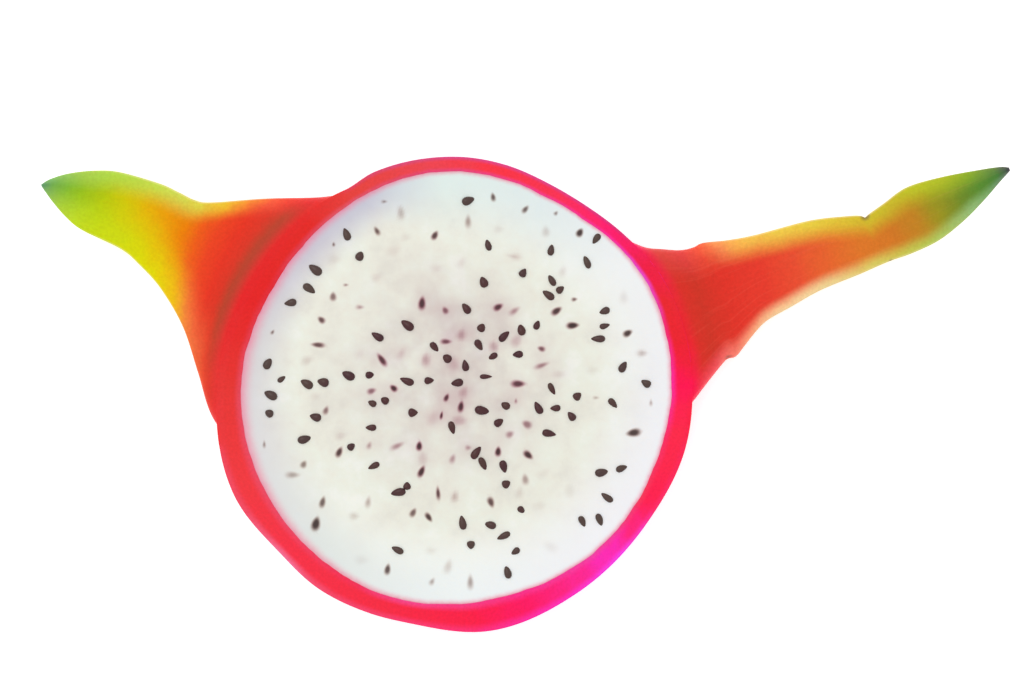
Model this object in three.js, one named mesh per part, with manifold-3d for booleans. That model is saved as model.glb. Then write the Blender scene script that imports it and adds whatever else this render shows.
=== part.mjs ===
// A round slice of dragon fruit (white-fleshed pitaya), cut straight across the fruit and lying on
// its lower cut face: a disc of flesh full of small seeds, in a ring of rind from which two pointed
// bracts still grow.
//
// Millimetres, +Z up. The origin is the middle of the lower cut face. +X runs towards the longer
// bract, +Y across it.
import * as THREE from "three";
import { mergeVertices } from "three/addons/utils/BufferGeometryUtils.js";
import Module from "manifold-3d";

const wasm = await Module();
wasm.setup();

// ---- Driving dimensions ----

const SLICE_THICKNESS = 8;
const FIT_GAP = 0.3; // clear gap between two pieces that touch in the real fruit
const OUTLINE_STEPS = 96; // straight stretches round the fruit

// How far the flesh reaches from the middle, as [bearing in degrees, radius].
const FLESH_REACH = [
  [0, 38.6], [30, 39.1], [60, 38.0], [95, 39.2], [145, 37.7], [180, 38.9],
  [220, 39.1], [250, 39.3], [285, 38.3], [310, 38.4], [340, 38.2],
];

// How far the skin of the rind reaches, bracts apart.
const SKIN_REACH = [
  [0, 42.4], [28, 42.0], [55, 40.5], [90, 41.9], [118, 41.6], [150, 41.9], [180, 43.2],
  [205, 44.7], [235, 43.7], [260, 43.1], [278, 44.0], [300, 42.7], [325, 41.7], [345, 42.5],
];

// Each bract lies between two edges, given as [x, y] from its root in the rind to its tip. Right
// and left are as seen from the root, looking to the tip.
const SHORT_BRACT = {
  rightEdge: [
    [-18.7, 35.6], [-25.0, 34.7], [-35.1, 34.4], [-47.0, 33.8], [-53.8, 37.1], [-60.8, 39.1],
    [-65.3, 39.4], [-70.0, 38.9], [-74.8, 37.2],
  ],
  leftEdge: [
    [-40.0, -11.2], [-44.5, -5.0], [-47.0, 2.9], [-49.7, 11.2], [-53.6, 18.0], [-57.4, 22.3],
    [-60.8, 25.2], [-67.7, 28.6], [-72.4, 32.9], [-75.2, 36.4],
  ],
  bladeThickness: 2.4,
  tipThickness: 0.9,
  tipLift: 2.6,
  gutter: 1.2,
};
const LONG_BRACT = {
  rightEdge: [
    [40.0, -3.6], [44.0, 0.0], [48.1, 4.4], [52.7, 8.1], [56.0, 12.0], [62.5, 16.0], [67.9, 18.5],
    [74.5, 21.3], [79.0, 23.5], [85.1, 26.0], [91.8, 31.3], [95.2, 35.0], [99.5, 39.1],
  ],
  leftEdge: [
    [29.3, 27.7], [33.8, 25.7], [40.3, 25.3], [44.6, 26.2], [54.2, 27.9], [63.7, 30.4],
    [70.8, 31.2], [73.6, 31.0], [76.9, 33.4], [81.0, 36.3], [87.1, 38.1], [94.0, 39.4], [99.0, 39.9],
  ],
  bladeThickness: 2.2,
  tipThickness: 0.8,
  tipLift: 4.8,
  gutter: 1.0,
};
const BRACT_STEPS = { along: 34, across: 6 };
const ROOT_THICKNESS = 7.9; // at its root a bract is as thick as the slice, less a hair
const ROOT_FLARE = 0.21; // the share of a bract's length over which its thick root thins out
const EDGE_SHARE = 0.35; // thickness left at the two edges of the blade

// A seed is a flattened drop, lying in the cut face with its pointed end towards its bearing.
const SEED_FLATNESS = 0.8; // height over width
const SEED_SINK = 0.1; // how far a seed's middle lies under the cut face
const SEED_STEPS = { along: 6, around: 8 };
const DROP_NECK = 0.35; // how narrow the pointed end is beside the round one
const DROP_FULLNESS = 2.71; // brings the widest place of the drop to its full width

// The seeds that lie open in the upper cut face, as [x, y, bearing in degrees, length, width].
const OPEN_SEEDS = [
  // left of the middle, above
  [-20, 27.8, 110, 2.4, 1.4], [-25.5, 21.5, 145, 2.8, 1.6], [-26.6, 18, 325, 2.6, 1.4],
  [-30, 15.4, 190, 2.3, 1.4], [-34, 4.5, 60, 2.2, 1.4], [-27, 1, 150, 2.5, 1.5],
  [-24.1, 1.3, 165, 2.2, 1.6], [-19.5, 2.5, 155, 2.5, 1.5], [-14.3, 9.5, 150, 2.5, 1.4],
  [-9, 11.6, 145, 2.9, 1.6], [-4, 7.5, 310, 2.2, 1.2], [-9, 1.5, 160, 2.7, 1.4],
  // right of the middle, above
  [0, 1, 190, 2.3, 1.4], [2, 34, 20, 2.4, 1.5], [5.5, 25.9, 105, 2.2, 1.1],
  [4.7, 19.2, 110, 2.1, 1.5], [1.6, 14.5, 125, 2.3, 1.4], [4, 7.9, 300, 2.2, 1.3],
  [8.5, 9.5, 45, 2.5, 1.3], [11.5, 10.6, 105, 2.1, 1.4], [14.5, 11.5, 70, 1.9, 1.2],
  [17, 25, 80, 2.1, 1.2], [17, 19.5, 120, 2.3, 1.1], [16.4, 17, 145, 2.7, 1.4],
  [23.3, 22.8, 112, 2.5, 1.1], [25, 27, 235, 2.2, 1.2], [26.6, 13.9, 200, 2.0, 1.3],
  [26.6, 11.4, 15, 2, 1.1], [25.4, 9, 180, 2.6, 1.3], [30, 4, 60, 2.4, 1.4],
  // left of the middle, below
  [-33.5, -1, 155, 2.6, 1.5], [-25.5, -5, 165, 2.2, 1.5], [-27.5, -9, 15, 2.5, 1.4],
  [-15.5, -7, 180, 2, 1.2], [-0.8, -7, 285, 2.4, 1.2], [-15, -14, 205, 2.4, 1.2],
  [-10.6, -18.7, 190, 2.8, 1.4], [-10.7, -28.9, 155, 2.4, 1.2],
  // right of the middle, below
  [17.2, -0.1, 297, 2.6, 1.1], [4.5, -4, 350, 2.7, 1.5], [7.5, -6, 35, 1.9, 1.4],
  [14.5, -3.4, 118, 2.6, 1.4], [28.1, -2.6, 312, 2.2, 1.2], [16.6, -8.1, 350, 2.6, 1.4],
  [3.5, -11.5, 55, 2.7, 1.4], [4.8, -13.5, 295, 2.7, 1.2], [8.5, -14, 285, 2.4, 1.4],
  [26, -15, 10, 2.4, 1.4], [29.6, -14.2, 20, 2.2, 1.2], [27, -19.5, 145, 2.6, 1.2],
  [22.7, -23.9, 295, 2.3, 1.2], [25.8, -23.6, 290, 2.5, 1.2], [0.9, -24, 100, 2.8, 1.4],
  [6, -24.4, 165, 2.2, 1.3], [8.4, -26.6, 205, 2.7, 1.2], [9, -33, 105, 2.4, 1.3],
];

// ---- Materials ----

const rindSkin = new THREE.MeshStandardMaterial({ color: 0xe8303a, roughness: 0.45, metalness: 0 });
const moistFlesh = new THREE.MeshStandardMaterial({ color: 0xeae8db, roughness: 0.35, metalness: 0 });
const seedCoat = new THREE.MeshStandardMaterial({ color: 0x3e2a2c, roughness: 0.3, metalness: 0 });

// ---- Geometry to solid and back ----

function toSolid(geometry) {
  const bare = geometry.clone();
  bare.deleteAttribute("normal");
  bare.deleteAttribute("uv");
  const merged = mergeVertices(bare, 1e-3);
  return new wasm.Manifold(
    new wasm.Mesh({
      numProp: 3,
      vertProperties: new Float32Array(merged.attributes.position.array),
      triVerts: new Uint32Array(merged.index.array),
    }),
  );
}

function toGeometry(solid) {
  const { vertProperties, triVerts } = solid.getMesh();
  const geometry = new THREE.BufferGeometry();
  geometry.setAttribute("position", new THREE.BufferAttribute(vertProperties, 3));
  geometry.setIndex(new THREE.BufferAttribute(triVerts, 1));
  geometry.computeVertexNormals();
  return geometry;
}

// ---- Outlines ----

// A smooth closed outline through [bearing, radius] points, grown by a margin.
function outline(reach, margin = 0) {
  const corners = reach.map(([bearing, radius]) => {
    const angle = THREE.MathUtils.degToRad(bearing);
    const far = radius + margin;
    return new THREE.Vector3(far * Math.cos(angle), far * Math.sin(angle), 0);
  });
  const curve = new THREE.CatmullRomCurve3(corners, true, "centripetal");
  const points = curve.getSpacedPoints(OUTLINE_STEPS).slice(0, -1);
  return points.map(({ x, y }) => new THREE.Vector2(x, y));
}

function slab(shape) {
  return new THREE.ExtrudeGeometry(shape, { depth: SLICE_THICKNESS, bevelEnabled: false });
}

// ---- Rind ----

// A bract's blade is a box whose length follows its two edges, whose width is an arc round the
// fruit's middle, and whose thickness falls from root to tip and from midrib to edge.
function bractGeometry(bract) {
  const { along, across } = BRACT_STEPS;
  const [right, left] = [bract.rightEdge, bract.leftEdge].map(
    (points) => new THREE.SplineCurve(points.map(([x, y]) => new THREE.Vector2(x, y))),
  );
  const geometry = new THREE.BoxGeometry(1, 1, 1, along, across, 1);
  const place = geometry.attributes.position;
  const box = new THREE.Vector3();
  for (let i = 0; i < place.count; i++) {
    box.fromBufferAttribute(place, i).addScalar(0.5);
    const onRight = right.getPointAt(box.x);
    const onLeft = left.getPointAt(box.x);
    const angle = Math.atan2(onRight.y, onRight.x) + signedAngle(onRight, onLeft) * box.y;
    const radius = THREE.MathUtils.lerp(onRight.length(), onLeft.length(), box.y);
    const z = bractMiddle(bract, box.x, box.y) + (box.z - 0.5) * bractThickness(bract, box.x, box.y);
    place.setXYZ(i, radius * Math.cos(angle), radius * Math.sin(angle), z);
  }
  return geometry;
}

function signedAngle(from, to) {
  return Math.atan2(from.x * to.y - from.y * to.x, from.x * to.x + from.y * to.y);
}

// 0 on the midrib, 1 at either edge.
function fromMidrib(across) {
  return Math.abs(2 * across - 1);
}

function bractThickness(bract, along, across) {
  const root = Math.exp(-((along / ROOT_FLARE) ** 2));
  const middle = THREE.MathUtils.lerp(bract.bladeThickness, bract.tipThickness, along);
  const blade = middle * THREE.MathUtils.lerp(1, EDGE_SHARE, fromMidrib(across) ** 2);
  return THREE.MathUtils.lerp(blade, ROOT_THICKNESS, root);
}

// The height of the blade's middle surface: it lifts towards the tip and is dished like a gutter.
function bractMiddle(bract, along, across) {
  const gutter = bract.gutter * Math.sin(Math.PI * along) * fromMidrib(across) ** 2;
  return SLICE_THICKNESS / 2 + bract.tipLift * along ** 2 + gutter;
}

function rindGeometry() {
  const ring = new THREE.Shape(outline(SKIN_REACH));
  ring.holes.push(new THREE.Path(outline(FLESH_REACH, FIT_GAP)));
  let solid = toSolid(slab(ring));
  for (const bract of [SHORT_BRACT, LONG_BRACT]) {
    solid = solid.add(toSolid(bractGeometry(bract)));
  }
  return toGeometry(solid);
}

// ---- Seeds and flesh ----

// The drop's half width, in widths, at a share of its length from its pointed end.
function dropProfile(share) {
  const egg = Math.sqrt(share * (1 - share)) * THREE.MathUtils.lerp(DROP_NECK, 1, share);
  return 0.5 * DROP_FULLNESS * egg;
}

// A seed lying along X, its pointed end towards +X, grown on every side by a margin.
function seedGeometry([, , , length, width], margin = 0) {
  const { along, around } = SEED_STEPS;
  const profile = [];
  for (let i = 0; i <= along; i++) {
    const share = (1 - Math.cos((Math.PI * i) / along)) / 2;
    const radius = i % along ? dropProfile(share) * width + margin : 0;
    profile.push(new THREE.Vector2(radius, (share - 0.5) * (length + 2 * margin)));
  }
  const seed = new THREE.LatheGeometry(profile, around);
  seed.rotateZ(Math.PI / 2);
  seed.scale(1, 1, SEED_FLATNESS);
  return seed;
}

function placeSeed(object, [x, y, bearing]) {
  object.position.set(x, y, SLICE_THICKNESS - SEED_SINK);
  object.rotation.z = THREE.MathUtils.degToRad(bearing);
  object.updateMatrix();
  return object;
}

// The disc of flesh, with a socket for each open seed.
function fleshGeometry() {
  let solid = toSolid(slab(new THREE.Shape(outline(FLESH_REACH))));
  for (const seed of OPEN_SEEDS) {
    const socket = seedGeometry(seed, FIT_GAP);
    const placed = placeSeed(new THREE.Object3D(), seed);
    solid = solid.subtract(toSolid(socket.applyMatrix4(placed.matrix)));
  }
  return toGeometry(solid);
}

// ---- The slice ----

function named(name, geometry, material) {
  const mesh = new THREE.Mesh(geometry, material);
  mesh.name = name;
  return mesh;
}

const slice = new THREE.Group();
slice.name = "dragon_fruit_slice";
slice.add(named("rind", rindGeometry(), rindSkin));
slice.add(named("flesh", fleshGeometry(), moistFlesh));

const seeds = new THREE.Group();
OPEN_SEEDS.forEach((seed, i) => {
  const name = `seed_${String(i + 1).padStart(2, "0")}`;
  seeds.add(placeSeed(named(name, seedGeometry(seed), seedCoat), seed));
});
slice.add(seeds);

export default slice;
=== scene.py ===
"""A round slice of dragon fruit, white flesh full of small dark seeds, in a ring of rind with two
pointed bracts. It lies on its lower cut face. Lengths in the tables are millimetres."""

import math
import random

import bmesh
import bpy
from mathutils import Matrix, Vector, noise
from mathutils.kdtree import KDTree


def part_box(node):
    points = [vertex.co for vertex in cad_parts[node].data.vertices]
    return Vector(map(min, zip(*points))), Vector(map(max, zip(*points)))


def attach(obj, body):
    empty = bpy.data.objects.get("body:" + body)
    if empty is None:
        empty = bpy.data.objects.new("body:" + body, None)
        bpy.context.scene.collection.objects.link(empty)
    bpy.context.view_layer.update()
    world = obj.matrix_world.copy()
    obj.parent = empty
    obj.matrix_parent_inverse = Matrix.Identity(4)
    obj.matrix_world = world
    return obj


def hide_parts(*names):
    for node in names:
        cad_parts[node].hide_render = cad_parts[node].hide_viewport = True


MM = 0.001

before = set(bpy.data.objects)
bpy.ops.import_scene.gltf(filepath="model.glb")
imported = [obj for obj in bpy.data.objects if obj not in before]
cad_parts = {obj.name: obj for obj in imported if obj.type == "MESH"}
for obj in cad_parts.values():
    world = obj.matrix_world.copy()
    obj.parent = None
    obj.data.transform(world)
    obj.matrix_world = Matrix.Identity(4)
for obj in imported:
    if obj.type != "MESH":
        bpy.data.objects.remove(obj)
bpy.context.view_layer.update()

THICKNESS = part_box("flesh")[1][2] / MM

# ---------------------------------------------------------------------------
# The maker's sizes
# ---------------------------------------------------------------------------

# How far flesh and skin reach from the middle: (bearing in degrees, radius).
FLESH_REACH = [
    (0, 38.6), (30, 39.1), (60, 38.0), (95, 39.2), (145, 37.7), (180, 38.9),
    (220, 39.1), (250, 39.3), (285, 38.3), (310, 38.4), (340, 38.2),
]
SKIN_REACH = [
    (0, 42.4), (28, 42.0), (42, 41.0), (55, 40.35), (66, 40.5), (78, 41.3), (90, 41.8),
    (111, 41.8), (118, 41.1), (124, 41.4), (150, 41.9), (180, 43.2), (205, 44.5),
    (222, 43.5), (235, 43.8), (248, 43.4), (260, 43.1), (278, 44.0), (300, 42.7), (325, 41.9), (345, 42.5),
]

# The edges of each bract, from its root to its tip, right and left as seen from the root, and its
# thickness, lift and gutter. Each edge has its own tint: margins says how far in it reaches from
# the right and the left, and left_limit the share of a narrow blade that the left one may take.
BRACTS = {
    "short": {
        "right": [
            (-18.7, 35.6), (-25.0, 34.7), (-35.1, 34.4), (-44.5, 33.7), (-47.4, 34.1),
            (-50.3, 35.5), (-53.8, 37.1), (-60.8, 39.1), (-65.3, 39.4), (-70.0, 38.9),
            (-73.4, 37.9), (-75.1, 36.9),
        ],
        "left": [
            (-40.0, -11.2), (-44.5, -5.0), (-47.0, 2.9), (-49.7, 11.2), (-53.6, 18.0),
            (-57.4, 22.3), (-60.8, 25.2), (-67.7, 28.6), (-70.6, 30.9), (-73.2, 33.9),
            (-75.1, 36.6),
        ],
        "blade": 2.4,
        "tip": 0.9,
        "lift": 2.6,
        "gutter": 1.2,
        "margins": (4.6, 12.5),
        "left_limit": 0.75,
    },
    "long": {
        "right": [
            (40.0, -5.4), (42.4, -2.8), (45.4, 1.1), (48.1, 4.5), (49.1, 5.4), (50.5, 5.8),
            (52.2, 7.9), (53.6, 9.7), (56.0, 12.2), (60.3, 14.7), (65.8, 17.8), (72.6, 20.6),
            (78.1, 23.0), (81.8, 24.3), (86.8, 26.7), (91.2, 30.2), (94.8, 33.9), (97.7, 37.3),
            (99.4, 39.2),
        ],
        "left": [
            (29.3, 27.7), (33.8, 25.7), (37.0, 25.3), (40.4, 25.1), (42.8, 25.6), (44.5, 26.4),
            (49.0, 26.9), (54.2, 27.9), (63.7, 30.4), (70.8, 31.2), (72.9, 31.2), (73.6, 30.9),
            (74.4, 31.6), (76.9, 33.4), (81.0, 36.3), (87.1, 38.1), (94.0, 39.4), (97.6, 39.9),
            (99.2, 39.8),
        ],
        "blade": 2.2,
        "tip": 0.8,
        "lift": 4.8,
        "gutter": 1.0,
        "margins": (3.1, 5.0),
        "left_limit": 0.55,
    },
}
BRACT_ROOTS = [(118, 196), (-5, 43)]  # the bearings between which each grows
ROOT_THICKNESS = THICKNESS - 0.02
RIGHT_LIMIT = 0.4  # the share of a narrow blade that its right edge's tint may take
ROOT_FLARE = 0.21  # the share of a bract's length over which its thick root thins out
EDGE_SHARE = 0.35  # thickness left at the two edges of the blade
SHARP_ANGLE = math.radians(50)  # corners sharper than this are shaded as corners

# ---------------------------------------------------------------------------
# Helpers
# ---------------------------------------------------------------------------


def linear(code):
    """A linear RGBA colour from an sRGB hex code."""
    parts = [int(code[i : i + 2], 16) / 255 for i in (1, 3, 5)]
    return [p / 12.92 if p <= 0.04045 else ((p + 0.055) / 1.055) ** 2.4 for p in parts] + [1.0]


def lerp(a, b, t):
    return a + (b - a) * t


def ease(low, high, x):
    """0 below low, 1 above high, and smooth between them."""
    t = min(1.0, max(0.0, (x - low) / (high - low)))
    return t * t * (3 - 2 * t)


def spline(points, steps):
    """Catmull-Rom through the points, as steps + 1 points equally far apart."""
    points = [Vector(p) for p in points]
    padded = [2 * points[0] - points[1]] + points + [2 * points[-1] - points[-2]]
    fine = []
    for a, b, c, d in zip(padded, padded[1:], padded[2:], padded[3:]):
        for k in range(24):
            t = k / 24
            fine.append(
                0.5 * (2 * b + (c - a) * t + (2 * a - 5 * b + 4 * c - d) * t**2
                       + (3 * b - a - 3 * c + d) * t**3)
            )
    fine.append(points[-1])
    travelled = [0.0]
    for p, q in zip(fine, fine[1:]):
        travelled.append(travelled[-1] + (q - p).length)
    out = []
    k = 0
    for i in range(steps + 1):
        goal = travelled[-1] * i / steps
        while k < len(fine) - 2 and travelled[k + 1] < goal:
            k += 1
        out.append(fine[k].lerp(fine[k + 1], (goal - travelled[k]) / (travelled[k + 1] - travelled[k])))
    return out


def smooth_reach(knots):
    """A function from a bearing in radians to a radius, smooth through the knots all round."""
    turn = [(b + 360 * lap, r) for lap in (-1, 0, 1) for b, r in knots]
    table = [p.y for p in resample(turn)]

    def reach(bearing):
        place = (bearing / math.tau) % 1 * 720
        i = int(place)
        return lerp(table[i % 720], table[(i + 1) % 720], place - i)

    return reach


def resample(turn):
    """The knots' smooth curve, read at every half degree from 0 to 360."""
    slopes = [
        (turn[i + 1][1] - turn[i - 1][1]) / (turn[i + 1][0] - turn[i - 1][0])
        for i in range(1, len(turn) - 1)
    ]
    slopes = [0.0] + slopes + [0.0]
    k = 0
    for half in range(720):
        bearing = half / 2
        while turn[k + 1][0] <= bearing:
            k += 1
        (b0, r0), (b1, r1) = turn[k], turn[k + 1]
        wide = b1 - b0
        t = (bearing - b0) / wide
        yield Vector((
            bearing,
            (2 * t**3 - 3 * t**2 + 1) * r0 + (t**3 - 2 * t**2 + t) * wide * slopes[k]
            + (3 * t**2 - 2 * t**3) * r1 + (t**3 - t**2) * wide * slopes[k + 1],
        ))


round_flesh = smooth_reach(FLESH_REACH)
skin_reach = smooth_reach(SKIN_REACH)


def flesh_reach(bearing):
    """The flesh's edge, with the small waver where pulp and peel grow into each other."""
    direction = Vector((math.cos(bearing), math.sin(bearing), 0))
    return round_flesh(bearing) + 0.16 * noise.noise(direction * 9) + 0.07 * noise.noise(direction * 26)


def under_bract(bearing):
    """1 where a bract grows from the ring, 0 where the ring's skin is bare."""
    degrees = math.degrees(bearing) % 360
    covered = 0.0
    for first, last in BRACT_ROOTS:
        middle, half = (first + last) / 2, (last - first) / 2
        off = abs((degrees - middle + 180) % 360 - 180)
        covered = max(covered, 1 - ease(half - 5, half + 1, off))
    return covered


def new_piece(name, bm, material, replaces=()):
    """A finished piece from a bmesh in millimetres."""
    bmesh.ops.transform(bm, matrix=Matrix.Scale(MM, 4), verts=bm.verts)
    for face in bm.faces:
        face.smooth = True
    for edge in bm.edges:
        edge.smooth = edge.calc_face_angle(0) < SHARP_ANGLE
    mesh = bpy.data.meshes.new(name)
    bm.to_mesh(mesh)
    bm.free()
    piece = bpy.data.objects.new(name, mesh)
    bpy.context.scene.collection.objects.link(piece)
    mesh.materials.append(material)
    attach(piece, "root")
    if replaces:
        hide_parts(*replaces)
    return piece


def add(tree, kind, settings=None, inputs=None, stops=None):
    """A node with its settings, its input values or links, and a ramp's stops."""
    node = tree.nodes.new(kind)
    for name, value in (settings or {}).items():
        setattr(node, name, value)
    for socket, value in (inputs or {}).items():
        if isinstance(value, bpy.types.NodeSocket):
            tree.links.new(value, node.inputs[socket])
        else:
            node.inputs[socket].default_value = value
    if stops:
        elements = node.color_ramp.elements
        elements.remove(elements[-1])
        elements[0].position, elements[0].color = stops[0][0], linear(stops[0][1])
        for place, code in stops[1:]:
            elements.new(place).color = linear(code)
    return node


def mix(tree, share, first, second, blend="MIX"):
    """A node that mixes two colours. Its third output is the colour."""
    return add(tree, "ShaderNodeMix", {"data_type": "RGBA", "blend_type": blend},
               {0: share, 6: first, 7: second})


def spread(tree, value, span, ends, easing="SMOOTHSTEP"):
    """A node that carries a value from the span to the two ends."""
    return add(tree, "ShaderNodeMapRange", {"interpolation_type": easing},
               {"Value": value, "From Min": span[0], "From Max": span[1],
                "To Min": ends[0], "To Max": ends[1]})


def product(tree, first, second):
    return add(tree, "ShaderNodeMath", {"operation": "MULTIPLY"}, {0: first, 1: second})


def turn_round(tree, axes):
    """A node with the share of a full turn, from +X, at which a place lies."""
    bearing = add(tree, "ShaderNodeMath", {"operation": "ARCTAN2"},
                  {0: axes.outputs["Y"], 1: axes.outputs["X"]})
    turns = add(tree, "ShaderNodeMath", {"operation": "DIVIDE"}, {0: bearing.outputs[0], 1: math.tau})
    return add(tree, "ShaderNodeMath", {"operation": "FRACT"}, {0: turns.outputs[0]})


def new_material(name, **settings):
    """An empty Principled material, and its tree and shader."""
    material = bpy.data.materials.new(name)
    material.use_nodes = True
    tree = material.node_tree
    shader = tree.nodes["Principled BSDF"]
    for socket, value in settings.items():
        shader.inputs[socket.replace("_", " ")].default_value = value
    return material, tree, shader


# ---------------------------------------------------------------------------
# Materials
# ---------------------------------------------------------------------------

# Ring colour against bearing, one turn from the long bract's side.
PEEL_ROUND = [
    (0.0, "#fe1452"), (0.03, "#ec2230"), (0.06, "#e82830"), (0.085, "#ee1e44"), (0.1, "#f02050"),
    (0.13, "#fe1c70"),
    (0.18, "#f63350"), (0.22, "#f83444"), (0.27, "#ea4550"), (0.32, "#e4433f"), (0.37, "#e12a26"),
    (0.44, "#e32425"), (0.5, "#e33632"), (0.56, "#ee3a40"), (0.62, "#f43348"), (0.7, "#f52c44"),
    (0.76, "#fb2049"), (0.8, "#fd1a62"), (0.835, "#fd2688"), (0.87, "#fd2bb6"), (0.893, "#fe2680"),
    (0.915, "#fe2050"), (0.97, "#fc2a4a"), (1.0, "#fe1852"),
]
# The colour of the line of juice between flesh and peel.
JUICE_ROUND = [
    (0.0, "#ff30a0"), (0.045, "#f82c78"), (0.085, "#e850d8"), (0.13, "#fc32a0"), (0.2, "#ee4490"),
    (0.28, "#e04a74"), (0.34, "#dc5868"), (0.38, "#de4458"), (0.42, "#de2c38"), (0.5, "#e44c60"),
    (0.6, "#ec4c68"), (0.67, "#f4345a"), (0.71, "#f84c92"), (0.76, "#f84088"),
    (0.8, "#fb3490"), (0.86, "#f244a4"), (0.915, "#f83a5c"),
    (0.96, "#fb3068"), (1.0, "#ff3098"),
]
# The waxy bloom on the skin's edge.
BLOOM_ROUND = [
    (0.0, "#f41c28"), (0.09, "#e0386c"), (0.125, "#bc3c80"), (0.2, "#c84c9c"), (0.3, "#cc5084"),
    (0.34, "#d83c4c"), (0.5, "#e84454"), (0.58, "#ee5470"), (0.625, "#f07ca6"), (0.66, "#f05478"),
    (0.7, "#f34a7c"), (0.76, "#fb3480"), (0.83, "#fe34d0"), (0.875, "#f44af8"), (0.915, "#fc3074"),
    (1.0, "#f41c28"),
]
# Bract colours against the share of its length, on its middle and its two edges.
BRACT_TINTS = {
    "short": {
        "middle": [
            # The browner band from 0.04 to 0.15 of the short bract's length is painted shade of the fold at
            # its root.
            (0.0, "#e82a28"), (0.04, "#c43e2c"), (0.09, "#b04632"), (0.15, "#b8422c"),
            (0.21, "#d83624"), (0.28, "#e33420"), (0.37, "#e84420"), (0.44, "#ea5c16"),
            (0.5, "#e88000"), (0.57, "#e69c00"), (0.64, "#deb400"), (0.71, "#cec400"),
            (0.78, "#b0c206"), (0.85, "#8fba18"), (0.9, "#7cb430"), (0.95, "#6ca64a"),
            (1.0, "#548870"),
        ],
        "right": [
            (0.0, "#e5303a"), (0.1, "#e22c34"), (0.18, "#ec4438"), (0.25, "#f25c3e"),
            (0.32, "#f48c34"), (0.4, "#ecc030"), (0.47, "#dcd044"), (0.55, "#ccda54"),
            (0.63, "#c2da4c"), (0.7, "#b6d84a"), (0.78, "#b0d648"), (0.85, "#a8ce50"),
            (0.92, "#90c25c"), (0.97, "#82b86c"), (1.0, "#6c9870"),
        ],
        "left": [
            (0.0, "#e83034"), (0.1, "#df3228"), (0.18, "#e3452c"), (0.25, "#e9643a"),
            (0.33, "#ee7440"), (0.4, "#f08a3a"), (0.47, "#ecbc14"), (0.55, "#e0d404"),
            (0.62, "#d6d800"), (0.7, "#ccd608"), (0.78, "#c4d810"), (0.85, "#bed824"),
            (0.92, "#a6cc3c"), (0.97, "#84b460"), (1.0, "#5c9070"),
        ],
    },
    "long": {
        "middle": [
            (0.0, "#ea242d"), (0.07, "#dc3028"), (0.14, "#cf3526"), (0.22, "#e03428"),
            (0.33, "#e53c2c"), (0.42, "#e64f30"), (0.51, "#e3682c"), (0.59, "#dc7728"),
            (0.67, "#d07824"), (0.73, "#c28222"), (0.79, "#9a9220"), (0.85, "#708b28"),
            (0.91, "#588a30"), (0.96, "#4c8038"), (0.98, "#4a6448"), (0.992, "#3c3c46"),
            (1.0, "#38303e"),
        ],
        "right": [
            (0.0, "#fa3050"), (0.08, "#f83f54"), (0.15, "#f65a60"), (0.21, "#fa8470"),
            (0.27, "#fca47c"), (0.34, "#f8c894"), (0.42, "#f2d29c"), (0.5, "#e8ce8c"),
            (0.58, "#dcca68"), (0.66, "#c8ca54"), (0.73, "#b8c852"), (0.8, "#a8c468"),
            (0.86, "#98be78"), (0.93, "#78a668"), (0.97, "#6c8c6c"), (1.0, "#4c4858"),
        ],
        "left": [
            (0.0, "#e23c50"), (0.08, "#da4840"), (0.15, "#e24644"), (0.2, "#f2583e"),
            (0.25, "#f99858"), (0.3, "#f6b450"), (0.38, "#efca4c"), (0.46, "#e8ce46"),
            (0.54, "#e0c83a"), (0.62, "#d2bc2e"), (0.7, "#c6be2c"), (0.77, "#bcc428"),
            (0.83, "#b0be28"), (0.9, "#8cae2c"), (0.95, "#6c9044"), (0.98, "#5a6c54"),
            (1.0, "#3c3448"),
        ],
    },
}


# Small dried nicks in the long bract's edges: (x, y, z, size).
NICKS = [(73.6, 31.2, 7.0, 1.2), (78.3, 22.9, 7.2, 0.7), (49.2, 5.3, 6.2, 1.1)]

RIND_LAYERS = ("leaf", "along", "across", "peel", "right_margin", "left_margin", "edge")


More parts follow.
